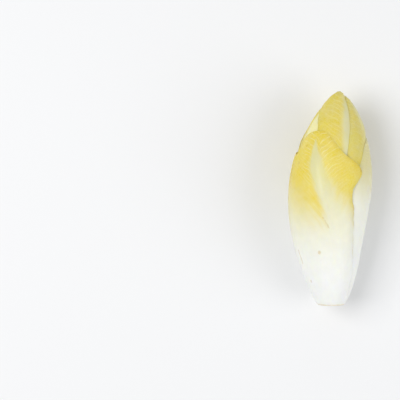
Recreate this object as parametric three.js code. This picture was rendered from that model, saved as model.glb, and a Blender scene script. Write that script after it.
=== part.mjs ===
// A head of belgian endive, cut from its root and lying on its side: pale leaves wrapped closely round
// one another on a short white stem, round a small bud of the youngest leaves.
// Millimetres. +Y runs from the cut stem to the tip and +Z is up. The origin is the middle of the small
// flat on the underside that the head rests on.
//
// Every leaf is worked out on the head itself: height is the distance from the cut face along the stem's
// line, and azimuth is the angle round that line, 0 at the top of the lying head and 90 at its +X side.

import * as THREE from 'three';

// The closed head's outline
const CUT_RADIUS = 8.6;
const WAIST_HEIGHT = 77;
const WAIST_RADIUS = 27.75;
const OUTLINE_HEIGHT = 140.5;
const LOWER_ROUNDING = [1.7, 0.85];
const UPPER_ROUNDING = [1.9, 0.76];
const SPINE_SIDEWAYS = [-0.4, -2.7, 0.0, 4.6];
const OVAL = 0.012;

// How the head lies
const REST_HEIGHT = 65;
const LEAN_DEGREES = 5.5;
const FLAT_DEPTH = 1.5;
const PRESSED_LAYERS = 16;

// The leaf blades
const BLADE_THICKNESS = 1.1;
const MARGIN_THICKNESS = 0.72;
const RIB_THICKNESS = 3.1;
const RIB_HALF_WIDTH = 9;
const RIB_TIP_HALF_WIDTH = 1.6;
const RIB_BULGE = 0.35;
const TIP_FLARE = 0.25;
const TIP_ROUNDING_START = 0.6;
const TIP_ROUNDING = 2.2;
const TIP_HALF_WIDTH = 1.2;
const ROW_CROWDING = 0.8;
const MARGIN_WAVE = 0.5;
const MARGIN_WAVE_LENGTH = 11;
const COVER_FALL = 0.45;
const MARGIN_ROOM = 0.8;
const STEEPEST = 2.3;

// The middle of the head
const MIDDLE_RADII = [7.0, 6.4, 3.9, 3.6, 4.2, 4.6, 4.6, 3.8, 2.4, 1.0, 0.3];
const CORE_HEIGHT = 29.5;
const CORE_GAP = 0.35;
const CORE_SIDES = 24;
const BUD_FOOT = 31;
const BUD_TIP = 114;
const BUD_GAP = 0.6;
const BUD_FOLDS = 5;
const BUD_FOLD_DEPTH = 0.9;
const BUD_TWIST_DEGREES = 2.2;

// The leaves that show, from the outermost inwards. azimuths, left and right are read at even steps
// from a leaf's foot to its tip: where its midrib runs, and how far its blade reaches to either side.
const SHOWN_LEAVES = [
  {
    name: 'outer_leaf_under', foot: 0.4, tip: 106,
    azimuths: [172, 176, 180, 184, 186],
    left: [8, 17, 25, 28, 25],
    right: [8, 17, 25, 28, 25],
  },
  {
    name: 'outer_leaf_front', foot: 0.4, tip: 115,
    azimuths: [25, 21.5, 18, 13.5, 7.8, -1.5, -13, -20.5, -23.5, -33],
    left: [15, 26, 33, 37, 39, 38, 33.5, 29.5, 28.5, 27],
    right: [8, 10, 12.6, 13.2, 14.7, 18, 21.6, 34, 20.5, 17],
  },
  {
    name: 'outer_leaf_right', foot: 0.6, tip: 109,
    azimuths: [112, 110, 108, 105, 102, 100, 98, 96, 92],
    left: [8, 15, 23, 29, 33, 34.5, 33, 28, 28],
    right: [8, 13, 17, 21, 24, 26, 26, 25, 22],
  },
  {
    name: 'outer_leaf_left', foot: 0.8, tip: 99.5,
    azimuths: [-128, -124, -119, -111, -102],
    left: [9, 17, 25, 28, 24],
    right: [12, 19, 26, 28, 24],
  },
  {
    name: 'middle_leaf_right', foot: 3, tip: 136.5,
    azimuths: [62, 66, 73, 82, 90],
    left: [8, 17, 25, 26, 17],
    right: [8, 17, 25, 26, 16],
  },
  {
    name: 'middle_leaf_under_left', foot: 4, tip: 135,
    azimuths: [-158, -156, -152, -148, -140],
    left: [8, 18, 26, 28, 20],
    right: [8, 18, 26, 25, 10],
  },
  {
    name: 'middle_leaf_front', foot: 5, tip: 139.5,
    azimuths: [4, 9, 14, 17, 19, 19.5, 20.5, 25, 44],
    left: [8, 13, 18, 22, 26, 27, 25.5, 28.5, 50],
    right: [8, 13, 18, 22, 26, 27, 27, 25, 24],
  },
  {
    name: 'middle_leaf_left', foot: 7, tip: 137.5,
    azimuths: [-76, -74, -68, -54, -42],
    left: [8, 18, 27, 28, 22],
    right: [8, 18, 27, 29, 24],
  },
  {
    name: 'middle_leaf_under_right', foot: 9, tip: 138,
    azimuths: [142, 144, 148, 150, 158],
    left: [9, 20, 29, 31, 24],
    right: [9, 20, 29, 31, 24],
  },
];

// The leaves inside follow the plant's spiral, each a little higher on the stem and a little shorter
const INNER_LEAVES = 7;
const SPIRAL_DEGREES = 137.5;
const INNER_START_DEGREES = 5;
const INNER_FEET = [11, 26];
const INNER_TIPS = [136, 121];
const INNER_HALF_WIDTHS = [10, 24, 35, 37, 24];
const INNER_TWIST_DEGREES = 10;

// Each group of leaves: the gap under its blades, the strength of its ribs, and its facets
const OUTER = { gap: 0.7, rib: 1, columns: 7, rows: 21, colour: 0xf1ecc9, count: 4 };
const MIDDLE = { gap: 1.0, rib: 0.85, columns: 5, rows: 18, colour: 0xe9de9a };
const INNER = { gap: 1.5, rib: 0.6, columns: 5, rows: 13, colour: 0xe8d880 };
const BUD_COLUMNS = 14;
const BUD_ROWS = 14;
const OUTLINE_STEPS = 28;

const radians = THREE.MathUtils.degToRad;
const clamp = THREE.MathUtils.clamp;

// A smooth curve through values at even steps, read at share 0 to 1 of its length
function smoothThrough(values, share) {
  const last = values.length - 1;
  const position = clamp(share, 0, 1) * last;
  const step = Math.min(Math.floor(position), last - 1);
  const rest = position - step;
  const before = values[Math.max(step - 1, 0)];
  const start = values[step];
  const end = values[step + 1];
  const after = values[Math.min(step + 2, last)];
  const bend = (3 * start - before - 3 * end + after) * rest ** 3;
  const sag = (2 * before - 5 * start + 4 * end - after) * rest ** 2;
  return 0.5 * (2 * start + (end - before) * rest + sag + bend);
}

function mix(range, share) {
  return range[0] + (range[1] - range[0]) * share;
}

function plainRadius(height) {
  if (height < WAIST_HEIGHT) {
    const below = clamp((WAIST_HEIGHT - height) / WAIST_HEIGHT, 0, 1);
    const swell = (1 - below ** LOWER_ROUNDING[0]) ** LOWER_ROUNDING[1];
    return CUT_RADIUS + (WAIST_RADIUS - CUT_RADIUS) * swell;
  }
  const above = clamp((height - WAIST_HEIGHT) / (OUTLINE_HEIGHT - WAIST_HEIGHT), 0, 0.9999);
  return WAIST_RADIUS * (1 - above ** UPPER_ROUNDING[0]) ** UPPER_ROUNDING[1];
}

// The closed head's radius, very slightly oval and fullest underneath
function headRadius(height, azimuth) {
  const oval = Math.cos(2 * radians(azimuth)) + 0.6 * Math.cos(3 * radians(azimuth - 180));
  return plainRadius(height) * (1 + OVAL * oval);
}

// How much longer a blade's thickness is along the radius than square to the sloping surface
function slantFactor(height) {
  const slope = plainRadius(height + 0.5) - plainRadius(Math.max(height - 0.5, 0));
  return Math.min(STEEPEST, Math.hypot(1, slope));
}

function middleRadius(height) {
  return smoothThrough(MIDDLE_RADII, height / 140);
}

function alongShare(leaf, height) {
  return clamp((height - leaf.foot) / (leaf.tip - leaf.foot), 0, 1);
}

function midribAzimuth(leaf, height) {
  return smoothThrough(leaf.azimuths, alongShare(leaf, height));
}

// How far the blade reaches to one side of its midrib, rounded off towards the tip and gently waved
function halfWidth(leaf, side, height) {
  const share = alongShare(leaf, height);
  const late = Math.max(share - TIP_ROUNDING_START, 0) / (1 - TIP_ROUNDING_START);
  const rounding = (1 - Math.min(late, 1) ** TIP_ROUNDING) ** (1 / TIP_ROUNDING);
  const turn = (2 * Math.PI * height) / MARGIN_WAVE_LENGTH + leaf.foot + leaf.tip;
  const wave = MARGIN_WAVE * Math.sin(turn) * Math.sin(Math.PI * share);
  return Math.max(smoothThrough(leaf[side], share) * rounding + wave, TIP_HALF_WIDTH);
}

// Rows of facets stand closer together near the foot and the tip
function rowHeight(leaf, share) {
  const eased = (1 - Math.cos(Math.PI * share)) / 2;
  return mix([leaf.foot, leaf.tip], mix([share, eased], ROW_CROWDING));
}

// The blade's margin as corner points, distance from the midrib by height
function marginPoints(leaf) {
  const steps = Array.from({ length: OUTLINE_STEPS + 1 }, (_, i) => i / OUTLINE_STEPS);
  const heights = steps.map((step) => rowHeight(leaf, step));
  const up = heights.map((height) => [-halfWidth(leaf, 'left', height), height]);
  const down = heights.map((height) => [halfWidth(leaf, 'right', height), height]).reverse();
  return [...up, ...down];
}

function segmentDistance(x, y, start, end) {
  const dx = end[0] - start[0];
  const dy = end[1] - start[1];
  const share = clamp(((x - start[0]) * dx + (y - start[1]) * dy) / (dx * dx + dy * dy || 1), 0, 1);
  return Math.hypot(x - start[0] - share * dx, y - start[1] - share * dy);
}

// Distance round the head from a leaf's midrib, negative to its left
function acrossFrom(leaf, height, azimuth) {
  const turn = azimuth - midribAzimuth(leaf, height);
  const wrapped = turn - 360 * Math.round(turn / 360);
  return radians(wrapped) * plainRadius(height);
}

// 1 where the leaf lies, falling smoothly to 0 a little way outside its margin, where the leaves
// beneath it swell back out to the head's outline
function coverOf(leaf, height, azimuth) {
  const across = acrossFrom(leaf, height, azimuth);
  const side = across < 0 ? 'left' : 'right';
  if (height >= leaf.foot && height <= leaf.tip && Math.abs(across) <= halfWidth(leaf, side, height)) {
    return 1;
  }
  const points = leaf.margin;
  const distances = points.map((point, i) => {
    return segmentDistance(across, height, point, points[(i + 1) % points.length]);
  });
  const outside = Math.max(Math.min(...distances) - MARGIN_ROOM, 0);
  const share = outside / (COVER_FALL * plainRadius(height));
  return 1 - THREE.MathUtils.smoothstep(share, 0, 1);
}

// Extra thickness of the midrib, strongest a little above the foot and gone at the tip
function ribThickness(leaf, share, across) {
  const rise = THREE.MathUtils.smoothstep(share, -0.06, 0.16);
  const width = mix([RIB_HALF_WIDTH, RIB_TIP_HALF_WIDTH], share ** 0.8);
  return leaf.group.rib * RIB_THICKNESS * rise * (1 - share) ** 1.1 * Math.exp(-((across / width) ** 2));
}

function bladeThickness(leaf, height, azimuth) {
  const across = acrossFrom(leaf, height, azimuth);
  const reach = halfWidth(leaf, across < 0 ? 'left' : 'right', height);
  const share = Math.min(Math.abs(across) / reach, 1);
  const blade = mix([BLADE_THICKNESS, MARGIN_THICKNESS], share ** 4);
  return blade + ribThickness(leaf, alongShare(leaf, height), across);
}

// The layers of leaf at one place on the head, from the outline inwards. Where they would need more
// room than there is round the stem, they are all squeezed alike.
function layersAt(height, azimuth) {
  const slant = slantFactor(height);
  let depth = 0;
  let bare = 1;
  const layers = leaves.map((leaf) => {
    const cover = coverOf(leaf, height, azimuth);
    const thickness = bladeThickness(leaf, height, azimuth) * slant;
    const layer = { depth, thickness, bare };
    depth += cover * (thickness + leaf.group.gap * slant);
    bare *= 1 - cover;
    return layer;
  });
  const radius = headRadius(height, azimuth);
  const squeeze = (1 + (depth / (radius - middleRadius(height))) ** 6) ** (-1 / 6);
  return { layers, radius, depth, squeeze };
}

// A leaf's outer and inner surface at one place. Where no other leaf covers it, its rib stands out
// and its tip bends outwards a little.
function leafRadii(index, height, azimuth) {
  const leaf = leaves[index];
  const { layers, radius, squeeze } = layersAt(height, azimuth);
  const { depth, thickness, bare } = layers[index];
  const share = alongShare(leaf, height);
  const bulge = RIB_BULGE * ribThickness(leaf, share, acrossFrom(leaf, height, azimuth));
  const flare = TIP_FLARE * THREE.MathUtils.smoothstep(share, 0.82, 1);
  const inner = radius - squeeze * (depth + thickness) + bare * flare;
  return { outer: radius - squeeze * depth + bare * (bulge + flare), inner };
}

// Where a place on the head is once the head leans on its rest and its underside is pressed flat
function place(height, azimuth, radius) {
  const sideways = radius * Math.sin(radians(azimuth));
  const up = radius * Math.cos(radians(azimuth));
  const lean = radians(LEAN_DEGREES);
  const along = height - REST_HEIGHT;
  const axisHeight = plainRadius(REST_HEIGHT) * Math.cos(lean) - FLAT_DEPTH;
  const leaning = (offset) => along * Math.sin(lean) + offset * Math.cos(lean) + axisHeight;
  const outline = plainRadius(height);
  const lowest = leaning(-Math.sqrt(Math.max(outline ** 2 - sideways ** 2, 0)));
  const z = leaning(up);
  const press = Math.max(-lowest, 0) * clamp(1 - (z - lowest) / PRESSED_LAYERS, 0, 1);
  return new THREE.Vector3(
    spineShift(height) - spineShift(REST_HEIGHT) + sideways,
    along * Math.cos(lean) - (up + plainRadius(REST_HEIGHT)) * Math.sin(lean),
    Math.max(z + press, 0),
  );
}

function spineShift(height) {
  return smoothThrough(SPINE_SIDEWAYS, height / 139);
}

// A closed thin solid between two grids of points, both split into triangles alike
function sheetGeometry(outer, inner, rows, columns) {
  const stride = columns + 1;
  const offset = outer.length;
  const index = [];
  const addQuad = (a, b, c, d) => index.push(a, c, b, a, d, c);
  for (let row = 0; row < rows; row += 1) {
    for (let column = 0; column < columns; column += 1) {
      const corner = row * stride + column;
      const next = corner + stride;
      addQuad(corner, next, next + 1, corner + 1);
      index.push(offset + corner, offset + next, offset + next + 1);
      index.push(offset + corner, offset + next + 1, offset + corner + 1);
    }
  }
  const rim = [];
  for (let column = 0; column < columns; column += 1) {
    rim.push(column);
  }
  for (let row = 0; row < rows; row += 1) {
    rim.push(row * stride + columns);
  }
  for (let column = columns; column > 0; column -= 1) {
    rim.push(rows * stride + column);
  }
  for (let row = rows; row > 0; row -= 1) {
    rim.push(row * stride);
  }
  rim.forEach((start, i) => {
    const end = rim[(i + 1) % rim.length];
    addQuad(start, end, offset + end, offset + start);
  });
  return indexedGeometry([...outer, ...inner], index);
}

function indexedGeometry(points, index) {
  const geometry = new THREE.BufferGeometry().setFromPoints(points);
  geometry.setIndex(index);
  geometry.computeVertexNormals();
  return geometry;
}

function leafGeometry(index) {
  const leaf = leaves[index];
  const { rows, columns } = leaf.group;
  const outer = [];
  const inner = [];
  for (let row = 0; row <= rows; row += 1) {
    const height = rowHeight(leaf, row / rows);
    const turn = 180 / Math.PI / plainRadius(height);
    for (let column = -columns; column <= columns; column += 1) {
      const reach = halfWidth(leaf, column < 0 ? 'left' : 'right', height);
      const azimuth = midribAzimuth(leaf, height) + (column / columns) * reach * turn;
      const radii = leafRadii(index, height, azimuth);
      outer.push(place(height, azimuth, radii.outer));
      inner.push(place(height, azimuth, radii.inner));
    }
  }
  return sheetGeometry(outer, inner, rows, 2 * columns);
}

// The bud of the youngest leaves, folded round each other in a spiral and closed at both ends
function budGeometry() {
  const points = [];
  for (let row = 1; row < BUD_ROWS; row += 1) {
    const share = row / BUD_ROWS;
    const height = mix([BUD_FOOT, BUD_TIP], share);
    const closing = Math.sin(Math.PI * share ** 0.8) ** 0.6;
    for (let column = 0; column < BUD_COLUMNS; column += 1) {
      const azimuth = (360 * column) / BUD_COLUMNS;
      const { radius, depth, squeeze } = layersAt(height, azimuth);
      const fold = (azimuth + BUD_TWIST_DEGREES * height) * BUD_FOLDS;
      const crease = BUD_FOLD_DEPTH * (0.5 + 0.5 * Math.sin(radians(fold)));
      const room = radius - squeeze * depth - BUD_GAP - crease;
      points.push(place(height, azimuth, Math.max(room, 1.2) * closing));
    }
  }
  const foot = points.push(place(BUD_FOOT, 0, 0)) - 1;
  const tip = points.push(place(BUD_TIP, 0, 0)) - 1;
  return ringedGeometry(points, BUD_ROWS - 1, BUD_COLUMNS, foot, tip);
}

// Rings of points closed by one point at each end
function ringedGeometry(points, rings, sides, foot, tip) {
  const index = [];
  for (let side = 0; side < sides; side += 1) {
    const next = (side + 1) % sides;
    for (let ring = 0; ring < rings - 1; ring += 1) {
      const low = ring * sides;
      const high = low + sides;
      index.push(low + side, high + next, high + side);
      index.push(low + side, low + next, high + next);
    }
    const top = (rings - 1) * sides;
    index.push(foot, next, side);
    index.push(tip, top + side, top + next);
  }
  return indexedGeometry(points, index);
}

// The stem inside the head: a cone, cut off square at its foot, that the leaves grow from
function coreGeometry() {
  const heights = [0, 2, 6, 11, 17, 23, 27, 29];
  const points = [];
  heights.forEach((height) => {
    for (let side = 0; side < CORE_SIDES; side += 1) {
      const radius = middleRadius(height) - CORE_GAP;
      points.push(place(height, (360 * side) / CORE_SIDES, radius));
    }
  });
  const foot = points.push(place(0, 0, 0)) - 1;
  const tip = points.push(place(CORE_HEIGHT, 0, 0)) - 1;
  return ringedGeometry(points, heights.length, CORE_SIDES, foot, tip);
}

function innerLeaf(number) {
  const share = number / (INNER_LEAVES - 1);
  const azimuth = INNER_START_DEGREES + SPIRAL_DEGREES * number;
  return {
    name: `inner_leaf_${number + 1}`,
    foot: mix(INNER_FEET, share),
    tip: mix(INNER_TIPS, share),
    azimuths: [azimuth, azimuth + INNER_TWIST_DEGREES],
    left: INNER_HALF_WIDTHS,
    right: INNER_HALF_WIDTHS,
    group: INNER,
  };
}

function addMesh(parent, name, geometry, color) {
  const material = new THREE.MeshStandardMaterial({ color, roughness: 0.45, metalness: 0 });
  const mesh = new THREE.Mesh(geometry, material);
  mesh.name = name;
  parent.add(mesh);
}

const leaves = SHOWN_LEAVES.map((leaf, i) => ({ ...leaf, group: i < OUTER.count ? OUTER : MIDDLE }));
for (let number = 0; number < INNER_LEAVES; number += 1) {
  leaves.push(innerLeaf(number));
}
leaves.forEach((leaf) => {
  leaf.margin = marginPoints(leaf);
});

const endive = new THREE.Group();
addMesh(endive, 'stem_core', coreGeometry(), 0xf6f4ea);
addMesh(endive, 'heart_bud', budGeometry(), 0xe6d87a);
leaves.forEach((leaf, index) => {
  addMesh(endive, leaf.name, leafGeometry(index), leaf.group.colour);
});

export default endive;
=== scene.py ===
import math

import bpy
import numpy as np
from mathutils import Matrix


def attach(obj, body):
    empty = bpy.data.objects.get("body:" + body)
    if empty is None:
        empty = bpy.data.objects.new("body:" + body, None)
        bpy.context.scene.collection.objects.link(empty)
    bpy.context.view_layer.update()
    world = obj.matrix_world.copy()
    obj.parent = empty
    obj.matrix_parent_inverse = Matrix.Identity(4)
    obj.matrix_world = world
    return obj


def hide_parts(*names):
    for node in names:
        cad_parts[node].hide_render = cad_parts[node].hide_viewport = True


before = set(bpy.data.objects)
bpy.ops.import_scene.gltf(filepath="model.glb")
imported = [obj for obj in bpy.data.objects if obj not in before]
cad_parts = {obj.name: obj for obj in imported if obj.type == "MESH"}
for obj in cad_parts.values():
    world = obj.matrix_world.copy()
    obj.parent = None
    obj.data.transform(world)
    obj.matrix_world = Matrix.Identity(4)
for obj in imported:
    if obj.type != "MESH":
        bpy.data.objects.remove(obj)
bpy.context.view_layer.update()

# The camera. The head lies on a table and is seen from straight above, with its tip pointing away, to
# the right of the picture's middle. Lengths in this file are millimetres, and MM makes them metres.
MM = 0.001
PICTURE_WIDTH = 260
PICTURE_MIDDLE = (-83.6, 1.0)
WIDEST_LEVEL = 27
CAMERA_DISTANCE = 2600

camera_data = bpy.data.cameras.new("camera")
camera_data.sensor_width = 36
camera_data.lens = camera_data.sensor_width * CAMERA_DISTANCE / PICTURE_WIDTH
camera = bpy.data.objects.new("camera", camera_data)
camera.location = [value * MM for value in (*PICTURE_MIDDLE, WIDEST_LEVEL + CAMERA_DISTANCE)]
bpy.context.collection.objects.link(camera)
bpy.context.scene.camera = camera


# The table and the light. The table is a plain matt sheet, pale grey. One broad soft lamp hangs to the
# left of the head, a weaker one to its right fills the shadows, and the room's walls give the rest.
TABLE_SIZE = 6000
TABLE_GREY = (0.87, 0.87, 0.87435, 1)
TABLE_ROUGHNESS = 0.75
LAMPS = {
    "broad_lamp": {"place": (-780, 100, 1190), "size": 900, "watts": 10.0},
    "fill_lamp": {"place": (1000, -250, 820), "size": 900, "watts": 5.6},
}
ROOM_COLOUR = (0.97, 0.985, 1.0, 1)
ROOM_LIGHT = 0.524


def new_material(name):
    """A material with nothing in it but its output and one Principled shader"""
    material = bpy.data.materials.new(name)
    material.use_nodes = True
    tree = material.node_tree
    shader = next(node for node in tree.nodes if node.type == "BSDF_PRINCIPLED")
    return material, tree, shader


def aim_at_head(lamp):
    x, y, z = lamp.location
    lamp.rotation_euler = (math.atan2(math.hypot(x, y), z), 0, math.atan2(x, -y))


half = TABLE_SIZE / 2 * MM
table_corners = [(-half, -half, 0), (half, -half, 0), (half, half, 0), (-half, half, 0)]
table_mesh = bpy.data.meshes.new("table")
table_mesh.from_pydata(table_corners, [], [(0, 1, 2, 3)])
table = bpy.data.objects.new("table", table_mesh)
bpy.context.collection.objects.link(table)
table_material, _, table_shader = new_material("pale_table")
table_shader.inputs["Base Color"].default_value = TABLE_GREY
table_shader.inputs["Roughness"].default_value = TABLE_ROUGHNESS
table_mesh.materials.append(table_material)

for name, lamp in LAMPS.items():
    light = bpy.data.lights.new(name, "AREA")
    light.size = lamp["size"] * MM
    light.energy = lamp["watts"]
    lamp_object = bpy.data.objects.new(name, light)
    lamp_object.location = [value * MM for value in lamp["place"]]
    aim_at_head(lamp_object)
    bpy.context.collection.objects.link(lamp_object)

world = bpy.data.worlds.new("room")
world.use_nodes = True
bpy.context.scene.world = world
room = next(node for node in world.node_tree.nodes if node.type == "BACKGROUND")
room.inputs["Color"].default_value = ROOM_COLOUR
room.inputs["Strength"].default_value = ROOM_LIGHT
bpy.context.scene.view_settings.view_transform = "Standard"


# The stem. A short white cone of crisp flesh that every leaf grows from, cut off square at its foot,
# where the cut face has dried to pale tan. Here it stands just clear of the leaves' feet.
STEM_HEIGHT = 29.5
STEM_CLOSING = 25
STEM_SIDES = 96
STEM_RINGS = 48
STEM_SWELL = 0.42
CUT_HEIGHT = 0.12
CUT_RINGS = 16
CUT_HOLLOW = 0.1
CUT_HOLLOW_TURN = 5
CUT_EDGE = 0.5
CUT_EDGE_RINGS = 5
CUT_DEPTH = 1.6
KNIFE_MARK = 0.06
KNIFE_AZIMUTH = 30
KNIFE_RIPPLES = 2.1

# The closed head's form, which the stem and every leaf follow. Heights run from the cut along the head,
# azimuths round it in degrees, from the top to the right. Both tuples of lengths are read at even steps
# of height: the spine's way to the right, and the radius that the stem and the bud take up inside.
CUT_RADIUS = 8.6
WAIST_HEIGHT = 77
WAIST_RADIUS = 27.75
OUTLINE_HEIGHT = 140.5
LOWER_ROUNDING = (1.7, 0.85)
UPPER_ROUNDING = (1.9, 0.76)
SPINE_SIDEWAYS = (-0.4, -2.7, 0.0, 4.6)
SPINE_LENGTH = 139
MIDDLE_RADII = (7.0, 6.4, 3.9, 3.6, 4.2, 4.6, 4.6, 3.8, 2.4, 1.0, 0.3)
MIDDLE_LENGTH = 140
REST_HEIGHT = 65
LEAN = math.radians(5.5)
FLAT_DEPTH = 1.5
PRESSED_LAYERS = 16


def srgb(red, green, blue):
    """A colour read off a screen, 0 to 255 a channel, as a linear colour"""
    channels = []
    for value in (red, green, blue):
        share = value / 255
        channels.append(share / 12.92 if share <= 0.04045 else ((share + 0.055) / 1.055) ** 2.4)
    return (*channels, 1.0)


STEM_FLESH = srgb(247, 245, 236)
CUT_FLESH = srgb(226, 206, 160)


def smooth_through(values, share):
    """A smooth curve through values at even steps, read at share 0 to 1 of its length"""
    values = np.asarray(values, float)
    last = len(values) - 1
    position = np.clip(share, 0, 1) * last
    step = np.minimum(np.floor(position).astype(int), last - 1)
    rest = position - step
    before = values[np.maximum(step - 1, 0)]
    start = values[step]
    end = values[step + 1]
    after = values[np.minimum(step + 2, last)]
    bend = (3 * start - before - 3 * end + after) * rest ** 3
    sag = (2 * before - 5 * start + 4 * end - after) * rest ** 2
    return 0.5 * (2 * start + (end - before) * rest + sag + bend)


def smoothstep(low, high, value):
    share = np.clip((value - low) / (high - low), 0, 1)
    return share * share * (3 - 2 * share)


def plain_radius(height):
    """The closed head's radius at a height above the cut"""
    below = np.clip((WAIST_HEIGHT - height) / WAIST_HEIGHT, 0, 1)
    above = np.clip((height - WAIST_HEIGHT) / (OUTLINE_HEIGHT - WAIST_HEIGHT), 0, 0.9999)
    swell = (1 - below ** LOWER_ROUNDING[0]) ** LOWER_ROUNDING[1]
    lower = CUT_RADIUS + (WAIST_RADIUS - CUT_RADIUS) * swell
    upper = WAIST_RADIUS * (1 - above ** UPPER_ROUNDING[0]) ** UPPER_ROUNDING[1]
    return np.where(height < WAIST_HEIGHT, lower, upper)


def middle_radius(height):
    """What the stem and the bud take up in the middle of the head"""
    return smooth_through(MIDDLE_RADII, height / MIDDLE_LENGTH)


def spine_shift(height):
    return smooth_through(SPINE_SIDEWAYS, height / SPINE_LENGTH)


def place(height, azimuth, radius):
    """Points of the lying head, at a height, an azimuth and a distance from the line through the stem.
    The head leans on its rest, and its underside is pressed flat there."""
    sideways = radius * np.sin(np.radians(azimuth))
    up = radius * np.cos(np.radians(azimuth))
    along = height - REST_HEIGHT
    rest_radius = plain_radius(REST_HEIGHT)
    axis_height = rest_radius * math.cos(LEAN) - FLAT_DEPTH
    lowest_up = -np.sqrt(np.maximum(plain_radius(height) ** 2 - sideways ** 2, 0))
    lowest = along * math.sin(LEAN) + lowest_up * math.cos(LEAN) + axis_height
    level = along * math.sin(LEAN) + up * math.cos(LEAN) + axis_height
    press = np.maximum(-lowest, 0) * np.clip(1 - (level - lowest) / PRESSED_LAYERS, 0, 1)
    x = spine_shift(height) - spine_shift(REST_HEIGHT) + sideways
    y = along * math.cos(LEAN) - (up + rest_radius) * math.sin(LEAN)
    return np.stack(np.broadcast_arrays(x, y, np.maximum(level + press, 0)), axis=-1)


def mesh_object(name, points, faces, point_values=None):
    """A smooth mesh piece from points in millimetres, with one value a point for each pattern name"""
    mesh = bpy.data.meshes.new(name)
    mesh.from_pydata((points * MM).tolist(), [], faces)
    mesh.shade_smooth()
    for pattern, values in (point_values or {}).items():
        layout, key = ("FLOAT_VECTOR", "vector") if values.ndim > 1 else ("FLOAT", "value")
        layer = mesh.attributes.new(pattern, layout, "POINT")
        layer.data.foreach_set(key, values.astype(np.float32).ravel())
    piece = bpy.data.objects.new(name, mesh)
    bpy.context.collection.objects.link(piece)
    return piece


def ring_faces(rings, sides):
    """Faces of a body of rings, lowest first, closed by one point at each end, the foot's first"""
    foot, tip = rings * sides, rings * sides + 1
    faces = []
    for side in range(sides):
        after = (side + 1) % sides
        faces.append((foot, after, side))
        faces.append((tip, (rings - 1) * sides + side, (rings - 1) * sides + after))
        for ring in range(rings - 1):
            low, high = ring * sides, (ring + 1) * sides
            faces.append((low + side, low + after, high + after, high + side))
    return faces


def add_node(tree, kind, inputs=None, **settings):
    """Adds a node, with its settings, and fills its inputs with values or with other nodes' outputs"""
    node = tree.nodes.new(kind)
    for name, value in settings.items():
        setattr(node, name, value)
    for key, value in (inputs or {}).items():
        if isinstance(value, bpy.types.NodeSocket):
            tree.links.new(value, node.inputs[key])
        else:
            node.inputs[key].default_value = value
    return node


def new_group(name, kind, inputs, outputs):
    """A node group's tree, what it is given and what it gives. Each input and output has its kind."""
    group = bpy.data.node_groups.new(name, kind)
    for label, socket in inputs.items():
        group.interface.new_socket(label, in_out="INPUT", socket_type=f"NodeSocket{socket}")
    for label, socket in outputs.items():
        group.interface.new_socket(label, in_out="OUTPUT", socket_type=f"NodeSocket{socket}")
    return group, group.nodes.new("NodeGroupInput").outputs, group.nodes.new("NodeGroupOutput").inputs


def place_group(tree, group, values):
    """Puts a node group into a tree and returns what it gives"""
    kind = group.bl_idname.replace("NodeTree", "NodeGroup")
    return add_node(tree, kind, values, node_tree=group).outputs


def calculate(tree, operation, *values):
    return add_node(tree, "ShaderNodeMath", dict(enumerate(values)), operation=operation).outputs[0]


def product(tree, first, *others):
    for other in others:
        first = calculate(tree, "MULTIPLY", first, other)
    return first


def total(tree, first, *others):
    for other in others:
        first = calculate(tree, "ADD", first, other)
    return first


def less(tree, value, taken):
    return calculate(tree, "SUBTRACT", value, taken)


def ratio(tree, value, divisor):
    return calculate(tree, "DIVIDE", value, divisor)


def vector(tree, x, y, z):
    return add_node(tree, "ShaderNodeCombineXYZ", {0: x, 1: y, 2: z}).outputs[0]


def ease(tree, value, low, high, start=0.0, end=1.0):
    """value's place between low and high, eased at both ends, as a number from start to end"""
    inputs = {"Value": value, "From Min": low, "From Max": high, "To Min": start, "To Max": end}
    return add_node(tree, "ShaderNodeMapRange", inputs, interpolation_type="SMOOTHSTEP").outputs[0]


def blend_colours(tree, share, first, second):
    inputs = {0: share, 6: first, 7: second}
    return add_node(tree, "ShaderNodeMix", inputs, data_type="RGBA").outputs[2]


def object_place(tree):
    """The place on the piece, in metres"""
    return add_node(tree, "ShaderNodeTexCoord").outputs["Object"]


def pattern_value(tree, name):
    """A pattern value stored on the mesh's points, in a material"""
    return add_node(tree, "ShaderNodeAttribute", attribute_name=name).outputs["Fac"]


def noise(tree, spot, scale, detail):
    """Noise with so many blotches a unit of length, which is a metre where spot is the object's"""
    inputs = {"Vector": spot, "Scale": scale, "Detail": detail}
    return add_node(tree, "ShaderNodeTexNoise", inputs).outputs[0]


def let_light_in(shader, weight, spread, depth):
    """Light enters the flesh, and each of its three colours spreads so many depths"""
    shader.inputs["Subsurface Weight"].default_value = weight
    shader.inputs["Subsurface Radius"].default_value = spread
    shader.inputs["Subsurface Scale"].default_value = depth * MM


def cut_tone_group():
    """Flesh that has dried tan where the knife went through, deepest at the cut face itself"""
    inputs = {"Flesh": "Color", "Cut": "Color", "Along": "Float", "Depth": "Float"}
    group, given, result = new_group("cut_tone", "ShaderNodeTree", inputs, {"Color": "Color"})
    spot = object_place(group)
    patchy = ease(group, noise(group, spot, 420, 3), 0.3, 0.7, 0.45, 1.0)
    ragged = product(group, noise(group, spot, 900, 2), 0.9)
    share = ratio(group, less(group, given["Along"], ragged), given["Depth"])
    near_cut = product(group, ease(group, share, 0.8, -0.1), patchy)
    group.links.new(blend_colours(group, near_cut, given["Flesh"], given["Cut"]), result["Color"])
    return group


cut_tone = cut_tone_group()


def with_cut_tone(tree, flesh):
    """A flesh colour with the tan of the cut at its foot"""
    values = {"Flesh": flesh, "Cut": CUT_FLESH, "Along": pattern_value(tree, "along"), "Depth": CUT_DEPTH}
    return place_group(tree, cut_tone, values)["Color"]


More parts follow.
